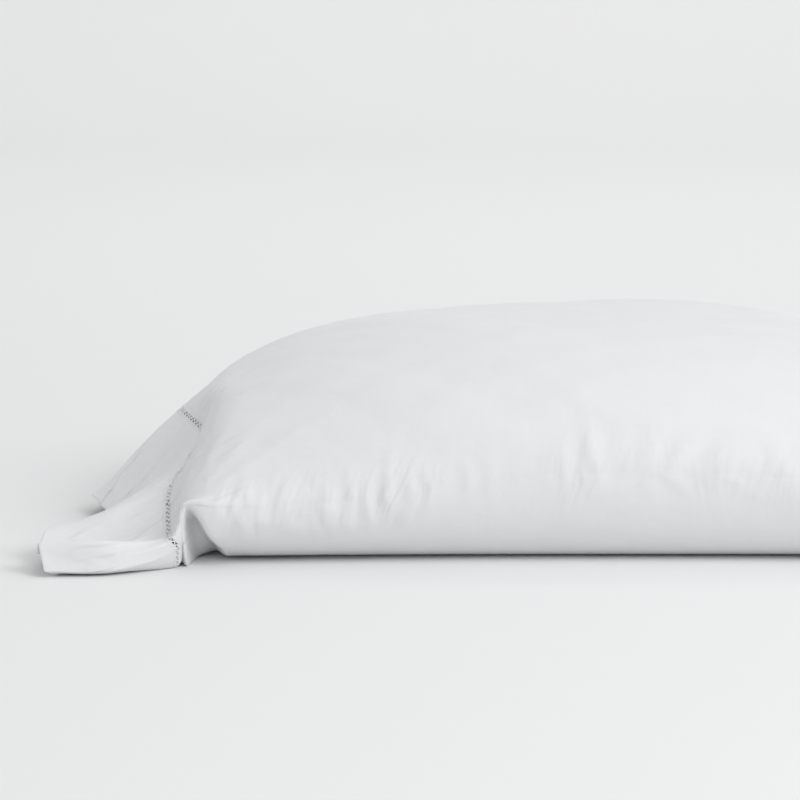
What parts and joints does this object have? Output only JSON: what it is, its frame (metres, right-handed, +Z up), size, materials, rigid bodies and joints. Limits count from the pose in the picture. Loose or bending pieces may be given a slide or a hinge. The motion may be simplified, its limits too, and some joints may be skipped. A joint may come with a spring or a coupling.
{
  "type": "pillowcase",
  "caption": "White cotton pillowcase on a plump pillow, its open end with a hemstitched hem falling in soft folds to the surface",
  "frame": {"origin": "on the surface it rests on, under the middle of the footprint", "axes": "+X along the case from its open mouth to its sewn end, +Y from the near side to the far side, +Z up"},
  "size_m": [0.7312, 0.503, 0.1612],
  "materials": {
    "white_cotton": "smooth white cotton percale, closely woven, with a drawn-thread band above the hem"
  },
  "bodies": {
    "root": {"pillowcase": "white_cotton"}
  },
  "joints": []
}
